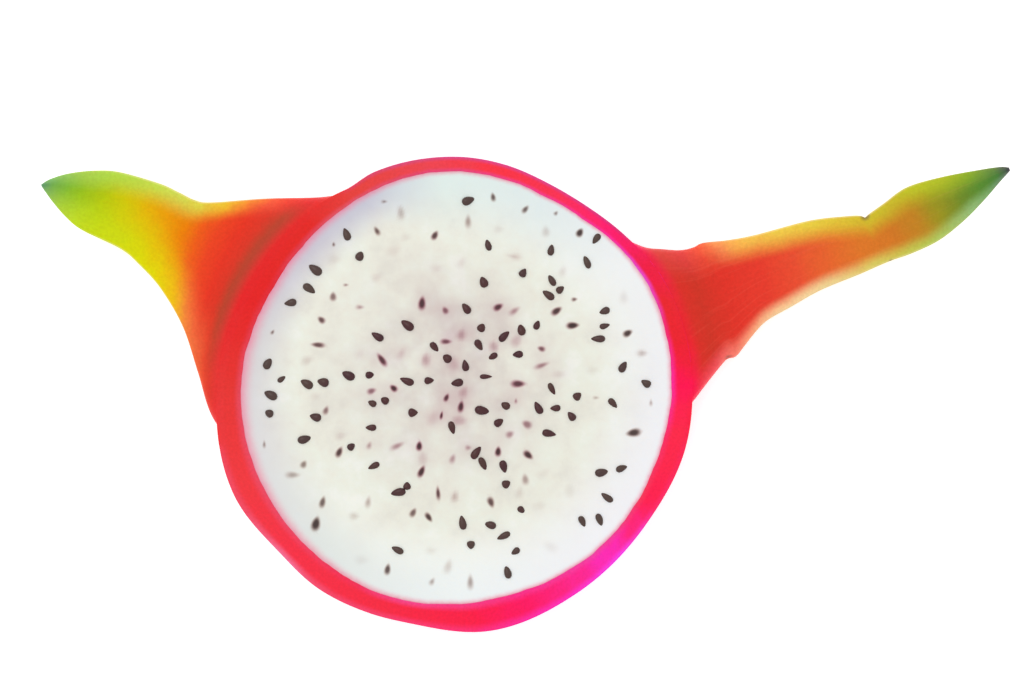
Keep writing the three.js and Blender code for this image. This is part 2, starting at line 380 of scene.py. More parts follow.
def make_rind_material():
    """Dragon fruit peel: on the cut, wet fleshy tissue that runs from pink at the flesh to a
    thin waxy skin; the bracts are the same skin, turning yellow and green towards their tips."""
    material, tree, shader = new_material("waxy_peel", Roughness=0.42, IOR=1.4)
    shader.inputs["Specular IOR Level"].default_value = 0.08
    shader.inputs["Subsurface Weight"].default_value = 0.12
    shader.inputs["Subsurface Radius"].default_value = (1.0, 0.35, 0.25)
    shader.inputs["Subsurface Scale"].default_value = 1.2 * MM
    where = add(tree, "ShaderNodeTexCoord").outputs["Object"]
    axes = add(tree, "ShaderNodeSeparateXYZ", inputs={0: where})
    turn = turn_round(tree, axes)
    leaf, along, across, peel, right_margin, left_margin, edge = (
        add(tree, "ShaderNodeAttribute", {"attribute_name": name}).outputs["Fac"]
        for name in RIND_LAYERS
    )
    # Soft patches about 4 mm wide shift every place that a colour changes.
    patches = add(tree, "ShaderNodeTexNoise", {"noise_dimensions": "3D"},
                  {"Vector": where, "Scale": 1 / (4 * MM), "Detail": 3.0, "Roughness": 0.55})
    drift = spread(tree, patches.outputs[0], (0.3, 0.7), (-0.02, 0.02), "LINEAR")
    ring_place = add(tree, "ShaderNodeMath", {"operation": "MULTIPLY_ADD", "use_clamp": True},
                     {0: drift.outputs[0], 1: 0.4, 2: turn.outputs[0]})
    ring = add(tree, "ShaderNodeValToRGB", {}, {0: ring_place.outputs[0]}, PEEL_ROUND)
    # The line of juice against the flesh, and the bloom on the skin's edge.
    juice = add(tree, "ShaderNodeValToRGB", {}, {0: ring_place.outputs[0]}, JUICE_ROUND)
    inner = spread(tree, peel, (0.0, 0.34), (0.9, 0.0))
    pinked = mix(tree, inner.outputs[0], ring.outputs[0], juice.outputs[0])
    outer = spread(tree, peel, (0.65, 1.0), (0.0, 0.75))
    bloom = add(tree, "ShaderNodeValToRGB", {}, {0: ring_place.outputs[0]}, BLOOM_ROUND)
    bloomed = mix(tree, outer.outputs[0], pinked.outputs[2], bloom.outputs[0])
    # Bracts: fine fibres run their length, 0.6 mm apart where the blade is 20 mm wide.
    blade_place = add(tree, "ShaderNodeCombineXYZ", {}, {0: across, 1: along})
    fibre_place = add(tree, "ShaderNodeVectorMath", {"operation": "MULTIPLY"},
                      {0: blade_place.outputs[0], 1: (34.0, 3.0, 1.0)})
    fibres = add(tree, "ShaderNodeTexNoise", {"noise_dimensions": "2D"},
                 {"Vector": fibre_place.outputs[0], "Scale": 1.0, "Detail": 1.0})
    fibre_shift = spread(tree, fibres.outputs[0], (0.3, 0.7), (-0.002, 0.002), "LINEAR")
    shifts = add(tree, "ShaderNodeMath", {"operation": "MULTIPLY_ADD"},
                 {0: drift.outputs[0], 1: 0.4, 2: fibre_shift.outputs[0]})
    length_place = add(tree, "ShaderNodeMath", {"operation": "ADD", "use_clamp": True},
                       {0: along, 1: shifts.outputs[0]})
    # A margin's tint comes in unevenly along the fibres.
    uneven = product(tree, shifts.outputs[0], 14.0)
    right_share, left_share = (
        add(tree, "ShaderNodeMath", {"operation": "MULTIPLY_ADD", "use_clamp": True},
            {0: margin, 1: uneven.outputs[0], 2: margin})
        for margin in (right_margin, left_margin)
    )
    blades = {}
    for name, tints in BRACT_TINTS.items():
        middle, right, left = (
            add(tree, "ShaderNodeValToRGB", {}, {0: length_place.outputs[0]}, tints[side])
            for side in ("middle", "right", "left")
        )
        with_right = mix(tree, right_share.outputs[0], middle.outputs[0], right.outputs[0])
        blades[name] = mix(tree, left_share.outputs[0], with_right.outputs[2], left.outputs[0])
    is_long = add(tree, "ShaderNodeMath", {"operation": "GREATER_THAN"},
                  {0: axes.outputs["X"], 1: 0.0})
    blade = mix(tree, is_long.outputs[0], blades["short"].outputs[2], blades["long"].outputs[2])
    streak = spread(tree, fibres.outputs[0], (0.6, 0.75), (0.0, 0.05))
    streak_share = product(tree, streak.outputs[0], is_long.outputs[0])
    streaked = mix(tree, streak_share.outputs[0], blade.outputs[2], linear("#fa8a70"))
    # The last 0.4 mm of a blade is thin enough to let light through; that light is painted in as a pale
    # cream.
    thin = spread(tree, edge, (0.06, 0.4), (0.4, 0.0))
    thin_reach = spread(tree, along, (0.66, 0.86), (1.0, 0.1))
    past_root = spread(tree, along, (0.2, 0.34), (0.0, 1.0))
    thin_blade = product(tree, past_root.outputs[0], thin_reach.outputs[0])
    thin_share = product(tree, thin.outputs[0], thin_blade.outputs[0])
    light_through_edged = mix(tree, thin_share.outputs[0], streaked.outputs[2], linear("#efe6bc"))
    # Where the edge was nicked it has dried dark.
    nicked = light_through_edged.outputs[2]
    for x, y, z, size in NICKS:
        gap = add(tree, "ShaderNodeVectorMath", {"operation": "DISTANCE"},
                  {0: where, 1: (x * MM, y * MM, z * MM)})
        share = spread(tree, gap.outputs["Value"], (0.3 * size * MM, size * MM), (0.65, 0.0))
        nicked = mix(tree, share.outputs[0], nicked, linear("#5a4c40")).outputs[2]
    whole = mix(tree, leaf, bloomed.outputs[2], nicked)
    # Grain of the wet tissue, 0.5 mm, lightens and darkens it a little.
    grain = add(tree, "ShaderNodeTexNoise", {"noise_dimensions": "3D"},
                {"Vector": where, "Scale": 1 / (0.5 * MM), "Detail": 2.0})
    grain_value = spread(tree, grain.outputs[0], (0.3, 0.7), (0.95, 1.05), "LINEAR")
    grained = add(tree, "ShaderNodeHueSaturation", {}, {"Color": whole.outputs[2],
                  "Value": grain_value.outputs[0]})
    tree.links.new(grained.outputs[0], shader.inputs["Base Color"])
    bump = add(tree, "ShaderNodeBump", {}, {"Strength": 0.35, "Distance": 0.05 * MM,
               "Height": grain.outputs[0]})
    tree.links.new(bump.outputs[0], shader.inputs["Normal"])
    return material


FLESH_LAYERS = ("rim", "shade", "halo")


def make_flesh_material():
    """White pitaya flesh, cut wet: watery and slightly see-through. Seeds below the cut are painted on
    its faces as soft mauve shadows, and the rind's juice stains its rim pink."""
    material, tree, shader = new_material("wet_white_flesh", Roughness=0.3, IOR=1.36)
    shader.inputs["Subsurface Weight"].default_value = 0.25
    shader.inputs["Subsurface Radius"].default_value = (1.0, 0.9, 0.8)
    shader.inputs["Subsurface Scale"].default_value = 0.8 * MM
    where = add(tree, "ShaderNodeTexCoord").outputs["Object"]
    axes = add(tree, "ShaderNodeSeparateXYZ", inputs={0: where})
    turn = turn_round(tree, axes)
    rim, shade, halo = (
        add(tree, "ShaderNodeAttribute", {"attribute_name": name}).outputs["Fac"]
        for name in FLESH_LAYERS
    )
    # Cells of juice and pulp, 6 mm across, make the white drift from warm to cool.
    pulp = add(tree, "ShaderNodeTexNoise", {"noise_dimensions": "3D"},
               {"Vector": where, "Scale": 1 / (6 * MM), "Detail": 4.0, "Roughness": 0.6})
    white = add(tree, "ShaderNodeValToRGB", {}, {0: pulp.outputs[0]},
                [(0.32, "#e3e1d6"), (0.45, "#e9e8dc"), (0.56, "#eaece0"), (0.68, "#eff0e8")])
    # Towards the rim the flesh is a clearer white, most of all at the bottom.
    clear_round = add(tree, "ShaderNodeValToRGB", {}, {0: turn.outputs[0]},
                      [(0.0, "#606060"), (0.1, "#c0c0c0"), (0.2, "#909090"), (0.3, "#000000"),
                       (0.56, "#000000"), (0.66, "#d8d8d8"), (0.75, "#ffffff"), (0.86, "#a0a0a0"),
                       (1.0, "#606060")])
    clear_reach = spread(tree, rim, (6.0, 16.0), (0.8, 0.0))
    clear_share = product(tree, clear_round.outputs[0], clear_reach.outputs[0])
    cleared = mix(tree, clear_share.outputs[0], white.outputs[0], linear("#f8f9f0"))
    # The rim is cooler, most of all on the upper left.
    cool_round = add(tree, "ShaderNodeValToRGB", {}, {0: turn.outputs[0]},
                     [(0.0, "#f0f0f5"), (0.1, "#eef0f2"), (0.18, "#dde8ea"), (0.26, "#dcebe8"),
                      (0.32, "#bfbfd2"), (0.38, "#c2bcce"), (0.46, "#d0ccd2"), (0.54, "#dad8dc"),
                      (0.64, "#dce2e0"), (0.75, "#ecf2f3"), (0.88, "#f3f2f8"), (1.0, "#f0f0f5")])
    # The brighter the rim, the further in it reaches, in millimetres.
    cool_reach = spread(tree, cool_round.outputs[0], (0.55, 0.85), (8.0, 15.0), "LINEAR")
    cool_share = spread(tree, rim, (0.5, cool_reach.outputs[0]), (0.85, 0.0))
    cooled = mix(tree, cool_share.outputs[0], cleared.outputs[2], cool_round.outputs[0])
    # How far the pink stain reaches in, in millimetres: furthest on the short bract's side.
    stain_reach = add(tree, "ShaderNodeValToRGB", {}, {0: turn.outputs[0]},
                      [(0.0, "#a8a8a8"), (0.07, "#b0b0b0"), (0.15, "#949494"), (0.26, "#a4a4a4"),
                       (0.36, "#d4d4d4"), (0.48, "#ffffff"), (0.62, "#e0e0e0"), (0.7, "#b4b4b4"),
                       (0.8, "#a4a4a4"), (1.0, "#a8a8a8")])
    stain_depth = product(tree, stain_reach.outputs[0], 3.0)
    # The juice creeps in along strands of pulp, under a millimetre apart.
    strands = add(tree, "ShaderNodeTexNoise", {"noise_dimensions": "3D"},
                  {"Vector": where, "Scale": 1 / (0.8 * MM), "Detail": 2.0})
    creep = spread(tree, strands.outputs[0], (0.3, 0.7), (-0.06, 0.06), "LINEAR")
    crept = add(tree, "ShaderNodeMath", {"operation": "ADD"}, {0: rim, 1: creep.outputs[0]})
    stain_place = add(tree, "ShaderNodeMath", {"operation": "DIVIDE"},
                      {0: crept.outputs[0], 1: stain_depth.outputs[0]})
    stain = spread(tree, stain_place.outputs[0], (-0.6, 1.0), (1.0, 0.0), "SMOOTHERSTEP")
    stained = mix(tree, stain.outputs[0], cooled.outputs[2], linear("#ee7498"))
    # Round the middle, where seeds lie thickest, the shadows of the deeper seeds are painted in as mauve
    # clouds.
    centred = add(tree, "ShaderNodeVectorMath", {"operation": "DISTANCE"},
                  {0: where, 1: (-2 * MM, 4 * MM, THICKNESS * MM)})
    middle = spread(tree, centred.outputs["Value"], (3 * MM, 27 * MM), (1.0, 0.0))
    clouds = add(tree, "ShaderNodeTexNoise", {"noise_dimensions": "3D"},
                 {"Vector": where, "Scale": 1 / (9 * MM), "Detail": 3.0, "Roughness": 0.6})
    cloud_share = spread(tree, clouds.outputs[0], (0.32, 0.68), (0.05, 0.55), "LINEAR")
    cloud_shade_share = product(tree, middle.outputs[0], cloud_share.outputs[0])
    cloud_shaded = mix(tree, cloud_shade_share.outputs[0], stained.outputs[2], linear("#bb9da2"))
    # Seeds under the cut are painted shadows, each in a faint mauve painted halo: mauve near the middle,
    # grey-brown further out.
    haloed = mix(tree, halo, cloud_shaded.outputs[2], linear("#b87a8c"))
    inside, outside = (
        add(tree, "ShaderNodeValToRGB", {}, {0: shade}, stops)
        for stops in (
            [(0.0, "#ffffff"), (0.2, "#eedfe4"), (0.45, "#c8a3af"), (0.7, "#885a68"),
             (0.85, "#603c46"), (1.0, "#42292e")],
            [(0.0, "#ffffff"), (0.2, "#e8e0de"), (0.45, "#b8a8a4"), (0.7, "#786462"),
             (0.85, "#584644"), (1.0, "#402e2c")],
        )
    )
    mauve_seeds = spread(tree, centred.outputs["Value"], (12 * MM, 32 * MM), (1.0, 0.0))
    seed_tint = mix(tree, mauve_seeds.outputs[0], outside.outputs[0], inside.outputs[0])
    shadowed = mix(tree, 1.0, haloed.outputs[2], seed_tint.outputs[2], "MULTIPLY")
    tree.links.new(shadowed.outputs[2], shader.inputs["Base Color"])
    # Pulp cells 0.7 mm wide catch the light on the wet cut.
    cells = add(tree, "ShaderNodeTexVoronoi", {"feature": "F1"},
                {"Vector": where, "Scale": 1 / (0.7 * MM)})
    bump = add(tree, "ShaderNodeBump", {}, {"Strength": 0.25, "Distance": 0.05 * MM,
               "Height": cells.outputs["Distance"]})
    tree.links.new(bump.outputs[0], shader.inputs["Normal"])
    return material


def make_seed_material():
    """Pitaya seed coat: thin, smooth and nearly black-brown, glossy because it is wet."""
    material, tree, shader = new_material("wet_seed_coat", Roughness=0.3, IOR=1.45)
    shader.inputs["Specular IOR Level"].default_value = 0.3
    where = add(tree, "ShaderNodeTexCoord").outputs["Object"]
    # The tint changes from one seed to the next, over 5 mm, and a little within each.
    tint = add(tree, "ShaderNodeTexNoise", {"noise_dimensions": "3D"},
               {"Vector": where, "Scale": 1 / (5 * MM), "Detail": 4.0, "Roughness": 0.7})
    coat = add(tree, "ShaderNodeValToRGB", {}, {0: tint.outputs[0]},
               [(0.3, "#42222a"), (0.5, "#4d2b2d"), (0.7, "#503a33")])
    # Seeds near the rim, in clearer flesh, look greyer than the mauve ones in the middle.
    apart = add(tree, "ShaderNodeVectorMath", {"operation": "DISTANCE"},
                {0: where, 1: (0, 0, THICKNESS * MM)})
    grey_share = spread(tree, apart.outputs["Value"], (14 * MM, 38 * MM), (0.0, 0.6))
    greyed = mix(tree, grey_share.outputs[0], coat.outputs[0], linear("#524840"))
    tree.links.new(greyed.outputs[2], shader.inputs["Base Color"])
    pits = add(tree, "ShaderNodeTexNoise", {"noise_dimensions": "3D"},
               {"Vector": where, "Scale": 1 / (0.12 * MM), "Detail": 1.0})
    bump = add(tree, "ShaderNodeBump", {}, {"Strength": 0.2, "Distance": 0.02 * MM,
               "Height": pits.outputs[0]})
    tree.links.new(bump.outputs[0], shader.inputs["Normal"])
    return material


RIND = make_rind_material()
FLESH = make_flesh_material()
SEED = make_seed_material()

# ---------------------------------------------------------------------------
# Rind
# ---------------------------------------------------------------------------

RING_STEPS = 720
SKIN_CORNER = math.radians(60)  # edges of the ring sharper than this are its corners
PAST_FLESH = 40  # further out than this a corner is at the skin, not at the flesh
SKIN_ROUNDING = 0.22
FLESH_GAP = 0.005
# The ring's section, as (0 at the flesh to 1 at the skin, 0 below to 1 above, steps to the next).
RING_SECTION = [(0, 0, 8), (0, 1, 14), (1, 1, 12), (1, 0, 8)]


def section_points():
    corners = RING_SECTION + RING_SECTION[:1]
    for (x0, z0, steps), (x1, z1, _) in zip(corners, corners[1:]):
        for i in range(steps):
            yield lerp(x0, x1, i / steps), lerp(z0, z1, i / steps)


def make_ring():
    """The ring of peel, wrapped from a flat grid, its cut edges slightly rounded."""
    section = list(section_points())
    around = len(section)
    bm = bmesh.new()
    bmesh.ops.create_grid(bm, x_segments=RING_STEPS, y_segments=around, size=0.5)
    layers = {name: bm.verts.layers.float.new(name) for name in RIND_LAYERS}
    for v in bm.verts:
        bearing = math.tau * (v.co.x + 0.5)
        depth, height = section[round((v.co.y + 0.5) * around) % around]
        inner = flesh_reach(bearing) + FLESH_GAP
        outer = skin_reach(bearing)
        v[layers["peel"]] = lerp(depth, min(depth, 0.7), under_bract(bearing))
        radius = lerp(inner, outer, depth)
        direction = Vector((math.cos(bearing), math.sin(bearing), 0))
        v.co = direction * radius + Vector((0, 0, height * THICKNESS))
    bmesh.ops.remove_doubles(bm, verts=bm.verts, dist=1e-4)
    bmesh.ops.recalc_face_normals(bm, faces=bm.faces)
    sharp = [
        e for e in bm.edges
        if e.calc_face_angle(0) > SKIN_CORNER and e.verts[0].co.xy.length > PAST_FLESH
        and under_bract(math.atan2(e.verts[0].co.y, e.verts[0].co.x)) < 0.5
    ]
    bmesh.ops.bevel(bm, geom=sharp, offset=SKIN_ROUNDING, offset_type="OFFSET", affect="EDGES",
                    segments=3, profile=0.5, material=-1, clamp_overlap=True)
    return bm


BRACT_STEPS = {"along": 190, "around": 132}


def bract_height(bract, along, from_midrib, side):
    """Height of the upper (side 1) or lower (side -1) face."""
    root = math.exp(-((along / ROOT_FLARE) ** 2))
    blade = lerp(bract["blade"], bract["tip"], along) * lerp(1, EDGE_SHARE, from_midrib**2)
    thick = lerp(blade, ROOT_THICKNESS, root) * math.sqrt(max(0.0, 1 - from_midrib**12))
    dish = bract["gutter"] * math.sin(math.pi * along) * from_midrib**2
    return THICKNESS / 2 + bract["lift"] * along**2 + dish + side * thick / 2


def make_bract(bract):
    """A closed blade: a grid rolled into a flat tube that runs from root to tip."""
    steps, around = BRACT_STEPS["along"], BRACT_STEPS["around"]
    right = spline(bract["right"], steps)
    left = spline(bract["left"], steps)
    bm = bmesh.new()
    bmesh.ops.create_grid(bm, x_segments=steps, y_segments=around, size=0.5)
    layers = {name: bm.verts.layers.float.new(name) for name in RIND_LAYERS}
    to_right, to_left = bract["margins"]
    left_limit = bract["left_limit"]
    for v in bm.verts:
        i = round((v.co.x + 0.5) * steps)
        half = 2 * (v.co.y + 0.5)
        side = 1 if half < 1 else -1
        across = (1 - math.cos(math.pi * min(half, 2 - half))) / 2
        along = i / steps
        r, l = right[i], left[i]
        bearing = math.atan2(r.y, r.x) - r.angle_signed(l) * across
        radius = lerp(r.length, l.length, across)
        z = bract_height(bract, along, abs(2 * across - 1), side)
        if i == steps:
            z = bract_height(bract, along, 1, 0)
        place = Vector((radius * math.cos(bearing), radius * math.sin(bearing), z))
        v[layers["peel"]] = 0.7
        v[layers["along"]] = along
        v[layers["across"]] = across
        v[layers["leaf"]] = ease(-0.3, 2.5, radius - skin_reach(bearing))
        width = (r - l).length
        broad = lerp(1.6, 1.0, ease(0.05, 0.35, along))
        right_reach = min(to_right * broad, 0.1 + RIGHT_LIMIT * width)
        left_reach = min(to_left * broad, 0.1 + left_limit * width)
        v[layers["right_margin"]] = 1 - ease(0.1, right_reach, across * width)
        v[layers["left_margin"]] = 1 - ease(0.1, left_reach, (1 - across) * width)
        v[layers["edge"]] = min(across, 1 - across) * width
        v.co = place
    bmesh.ops.remove_doubles(bm, verts=bm.verts, dist=1e-3)
    bmesh.ops.holes_fill(bm, edges=[e for e in bm.edges if e.is_boundary], sides=0)
    bmesh.ops.recalc_face_normals(bm, faces=bm.faces)
    return bm


def loose_object(name, bm):
    mesh = bpy.data.meshes.new(name)
    bm.to_mesh(mesh)
    bm.free()
    holder = bpy.data.objects.new(name, mesh)
    bpy.context.scene.collection.objects.link(holder)
    return holder


def make_rind():
    """Ring and bracts grown into one skin."""
    ring = loose_object("ring", make_ring())
    blades = [loose_object(name, make_bract(bract)) for name, bract in BRACTS.items()]
    for blade in blades:
        union = ring.modifiers.new("grown_on", "BOOLEAN")
        union.operation = "UNION"
        union.solver = "MANIFOLD"
        union.object = blade
    depsgraph = bpy.context.evaluated_depsgraph_get()
    bm = bmesh.new()
    bm.from_object(ring, depsgraph)
    for spare in [ring] + blades:
        mesh = spare.data
        bpy.data.objects.remove(spare)
        bpy.data.meshes.remove(mesh)
    return new_piece("rind", bm, RIND, ["rind"])


# ---------------------------------------------------------------------------
# Seeds
# ---------------------------------------------------------------------------


DROP_FULLNESS = 2.71  # brings the widest place of the drop to its full width


def drop_profile(share, neck):
    """The drop's half width, in widths, at a share of its length from its pointed end."""
    return 0.5 * DROP_FULLNESS * math.sqrt(share * (1 - share)) * lerp(neck, 1, share)


def read_seed(node):
    """(place, bearing of the pointed end, length, width) of a seed from its solid."""
    low, high = (Vector(c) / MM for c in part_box(node))
    middle = (low + high) / 2
    points = [v.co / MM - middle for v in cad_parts[node].data.vertices]
    xx = sum(p.x * p.x for p in points)
    yy = sum(p.y * p.y for p in points)
    xy = sum(p.x * p.y for p in points)
    bearing = 0.5 * math.atan2(2 * xy, xx - yy)
    axis = Vector((math.cos(bearing), math.sin(bearing), 0))
    cross = Vector((-axis.y, axis.x, 0))
    along = [p.dot(axis) for p in points]
    away = [p.dot(cross) for p in points]
    fatter = sum(b * b * a for a, b in zip(along, away))
    if fatter > 0:
        bearing += math.pi
    centre = middle + axis * (max(along) + min(along)) / 2
    return centre, bearing, max(along) - min(along), max(away) - min(away)


def seed_bmesh(centre, bearing, length, width, tilt, rng):
    """A drop, drawn from a sphere whose poles are its two ends."""
    bm = bmesh.new()
    bmesh.ops.create_uvsphere(bm, u_segments=14, v_segments=14, radius=1)
    neck = rng.uniform(0.36, 0.62)
    bend = rng.uniform(-0.1, 0.1)
    for v in bm.verts:
        share = (v.co.z + 1) / 2
        ring = math.hypot(v.co.x, v.co.y)
        radius = drop_profile(1 - share, neck) * width if ring > 1e-6 else 0
        spin = math.atan2(v.co.y, v.co.x)
        v.co = Vector((
            (share - 0.5) * length,
            radius * math.cos(spin) + bend * length * (share - 0.5) ** 2,
            radius * math.sin(spin) * 0.8,
        ))
    turn = Matrix.Translation(centre) @ Matrix.Rotation(bearing, 4, "Z") @ Matrix.Rotation(tilt, 4, "Y")
    bmesh.ops.transform(bm, matrix=turn, verts=bm.verts)
    bmesh.ops.recalc_face_normals(bm, faces=bm.faces)
    return bm


def make_open_seeds():
    rng = random.Random(7)
    found = []
    for node in sorted(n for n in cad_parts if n.startswith("seed_")):
        centre, bearing, length, width = read_seed(node)
        bm = seed_bmesh(centre, bearing, length, width, rng.uniform(-0.02, 0.12), rng)
        new_piece("open_" + node, bm, SEED, [node])
        found.append((centre.x, centre.y, bearing, length, width))
    return found


# The smaller open seeds, seen end on or half sunk: (x, y, bearing, length, width).
SMALL_SEEDS = [
    # left of the middle, above
    (-17.5, 23.9, 65, 1.8, 1.4), (-31.5, 1.8, 35, 1.9, 1.0), (-15.7, 2.5, 10, 1.6, 1.2),
    (-5, 1.5, 5, 1.8, 1.3), (-1.8, 5.5, 140, 1.8, 1.4),
    # right of the middle, above
    (11.9, 20.9, 60, 1.7, 1.4), (18.6, 17.9, 40, 1.7, 1.3), (4.4, 11, 60, 1.6, 1.4),
    (6.4, 5.8, 210, 2.0, 1.1), (10.9, 6.2, 185, 2.0, 1.3), (1.5, 4.2, 100, 2.1, 1.3),
    (5.2, 2.2, 0, 2.3, 0.9), (34, 1, 150, 1.9, 1.4),
    # left of the middle, below
    (-33.8, -4.4, 150, 1.6, 1.3), (-19.0, -10.4, 35, 1.6, 1.3), (-15.3, -2.6, 155, 1.7, 1.2),
    (-13, -2.1, 150, 1.6, 1.3), (-7.9, -4.3, 0, 1.8, 1.6), (-9, -17.4, 90, 1.6, 1.4),
    # right of the middle, below
    (8.7, -3, 150, 1.8, 1.3), (17.7, -3.5, 185, 1.9, 1.2), (20.6, -4.9, 130, 1.9, 1.4),
    (21.7, -1.3, 40, 1.7, 1.5), (8.9, -17.1, 30, 1.7, 1.5), (11.6, -21.8, 320, 1.6, 1.1),
    (2.5, -28.1, 270, 1.5, 1.4), (10.5, -29.3, 215, 1.9, 1.2),
]
# Seeds sunk under the cut: (x, y, bearing, length, width, depth).
SUNK_SEEDS = [
    # left of the middle, above
    (-6.3, 15.4, 85, 2.1, 1.2, 0.15), (-13.5, 5.2, 125, 2.3, 1.0, 0.2), (-2, 8.5, 0, 1.7, 0.9, 0.3),
    (-4, 27.6, 60, 1.5, 1.0, 0.22), (-14.4, 28.4, 120, 1.4, 0.8, 0.3), (-24.4, 12.4, 140, 1.3, 1.0, 0.25),
    (-25, 7.9, 175, 2.1, 0.9, 0.25), (-22.3, 16.6, 90, 1.4, 1.1, 0.38), (-2.1, 14.1, 120, 1.2, 1.0, 0.35),
    (-17.5, 14.7, 0, 1.0, 0.6, 0.45), (-10.1, 31.7, 100, 2.0, 1.1, 0.6), (-9.2, 27.3, 0, 1.4, 1.1, 0.85),
    (-14.5, 20, 30, 1.5, 1.2, 0.85), (-3.6, 21.6, 0, 1.6, 1.2, 0.9), (-10, 6.3, 60, 1.4, 1.0, 0.75),
    (-27, 5.1, 20, 1.8, 1.4, 0.75), (-5.6, 5.2, 90, 2.0, 1.4, 0.6), (-11.4, 0.1, 140, 1.3, 1.0, 0.15),
    (-22, 23.4, 0, 1.6, 1.4, 0.9), (-11.5, 24.8, 20, 2.4, 1.8, 0.9), (-17.5, 6.2, 60, 1.4, 1.2, 0.95),
    # right of the middle, above
    (6.5, 34.5, 100, 1.3, 0.8, 0.28), (12.3, 32.3, 50, 1.3, 0.8, 0.32), (22.1, 28.1, 60, 1.4, 1.1, 0.15),
    (2, 30.1, 90, 1.9, 1.0, 0.5), (10.3, 23.8, 170, 1.8, 0.8, 0.65), (16, 28.3, 90, 1.5, 1.2, 0.7),
    (7.5, 28.7, 0, 1.4, 1.1, 0.85), (19, 21.1, 70, 1.6, 1.1, 0.8), (21.1, 16.1, 10, 0.8, 0.6, 0.3),
    (30, 16.5, 90, 1.8, 1.3, 0.85), (33.3, 6.4, 0, 1.4, 1.0, 0.6), (7.4, 14.7, 30, 1.6, 1.1, 0.2),
    (10.3, 14, 35, 1.7, 0.9, 0.5), (17.9, 14, 35, 1.8, 1.1, 0.15), (20.8, 11.4, 5, 1.9, 1.1, 0.1),
    (30.7, 10, 30, 1.5, 1.1, 0.18), (15.2, 7.2, 160, 1.2, 0.9, 0.3), (15.2, 4.2, 20, 2.1, 0.8, 0.42),
    (11, 0.9, 0, 2.2, 1.2, 0.2), (24.3, 3.4, 0, 1.6, 1.2, 0.9), (18.3, 2.6, 0, 2.0, 1.2, 0.8),
    (0.8, 9.7, 80, 1.8, 1.4, 0.6), (10.7, 8.7, 60, 2.2, 1.6, 0.7), (6.6, 7.6, 100, 1.8, 1.4, 0.6),
    (0.8, 22.7, 60, 1.4, 1.0, 0.85), (-0.6, 4.6, 90, 2.2, 1.5, 0.75),
    # left of the middle, below
    (-15.4, -0.4, 20, 1.4, 1.0, 0.38), (-23.6, -3.9, 70, 1.3, 0.9, 0.38), (-25.6, -1.4, 0, 1.4, 1.1, 0.9),
    (-21, -8.5, 20, 1.4, 1.2, 0.8), (-21.2, -11.4, 65, 1.7, 1.0, 0.22), (-27.6, -13.6, 60, 1.2, 1.0, 0.42),
    (-29.6, -15.5, 0, 2.0, 1.0, 0.55), (-15.8, -10.2, 70, 1.0, 0.7, 0.5), (-10.8, -10.3, 25, 2.1, 0.9, 0.48),
    (-6.8, -10.3, 85, 1.5, 1.0, 0.13), (-6.4, -14.9, 65, 1.9, 1.0, 0.15), (-3.4, -18.8, 95, 2.0, 0.7, 0.25),
    (-7.9, -22.3, 60, 1.5, 1.0, 0.33), (-5.1, -23.1, 305, 1.6, 0.9, 0.2), (-16, -20.4, 80, 1.6, 0.9, 0.55),
    (-18.5, -22.9, 0, 1.4, 1.1, 0.7), (-24.2, -20.4, 75, 1.8, 1.0, 0.33), (-25.4, -24.3, 75, 2.2, 1.4, 0.12),
    (-12.5, -32.5, 80, 1.7, 1.0, 0.25), (-4.5, -34.7, 60, 1.0, 0.7, 0.5), (-1.6, -32, 75, 2.0, 1.2, 0.7),
    (-4.7, -29.1, 0, 1.4, 1.0, 0.85), (-17.2, -30.8, 0, 2.0, 1.4, 0.95), (-1.9, -1.6, 65, 1.3, 0.8, 0.2),
    (-2.8, -4.8, 80, 1.2, 0.5, 0.1), (-0.8, -12.6, 70, 1.4, 0.9, 0.5), (-0.4, -19.4, 80, 1.6, 1.1, 0.6),
    (-4.4, -5.4, 60, 2.2, 1.6, 0.85), (-6.2, -12.6, 90, 2.2, 1.5, 0.75),
    # right of the middle, below
    (0.7, -3.2, 80, 1.8, 1.0, 0.18), (0.4, -5.7, 0, 2.2, 1.6, 0.65), (1.2, -0.6, 60, 1.8, 1.4, 0.65),
    (12.6, -6.4, 150, 1.6, 1.3, 0.42), (9.5, -8.2, 30, 1.3, 1.1, 0.5), (7.4, -11.3, 85, 1.5, 1.0, 0.15),
    (12.8, -11.9, 320, 1.7, 1.1, 0.12), (12.3, -16.3, 100, 1.6, 1.1, 0.52), (11.3, -18.7, 80, 1.8, 1.2, 0.8),
    (6.1, -20.4, 290, 1.7, 1.1, 0.25), (20.3, -18.2, 90, 2.2, 1.6, 0.9), (15, -21, 0, 1.8, 1.4, 0.9),
    (16.8, -28.4, 150, 2.2, 1.4, 0.9), (2.4, -34.8, 90, 2.1, 1.0, 0.5), (2, -10.6, 0, 0.8, 0.7, 0.5),
    (31.8, -7.9, 190, 2.2, 1.3, 0.13), (15.4, -15.4, 40, 1.8, 1.3, 0.95),
    # specks of pulp near the rim
    (-22.2, 26, 100, 0.5, 0.35, 0.2), (-33.2, 10.2, 60, 0.6, 0.4, 0.25), (-20, 18.7, 0, 0.5, 0.3, 0.3),
    (-34.7, -10, 90, 0.7, 0.3, 0.3), (-13.1, 33.7, 0, 0.6, 0.35, 0.35), (17.8, 31.6, 50, 0.6, 0.5, 0.35),
    (10.6, -2.2, 90, 0.5, 0.3, 0.3), (25, -1.6, 0, 0.5, 0.3, 0.45), (34.9, -2.5, 90, 0.6, 0.3, 0.4),
]
UNDER_SEEDS = 64  # this many seeds are cut open on the lower face, and as many lie near it
UNDER_SPACING = 3


def make_seed_group(seeds):
    """Many small seeds as one piece."""
    whole = bmesh.new()
    for seed in seeds:
        seed = seed_bmesh(*seed)
        spare = bpy.data.meshes.new("spare")
        seed.to_mesh(spare)
        seed.free()
        whole.from_mesh(spare)
        bpy.data.meshes.remove(spare)
    return whole


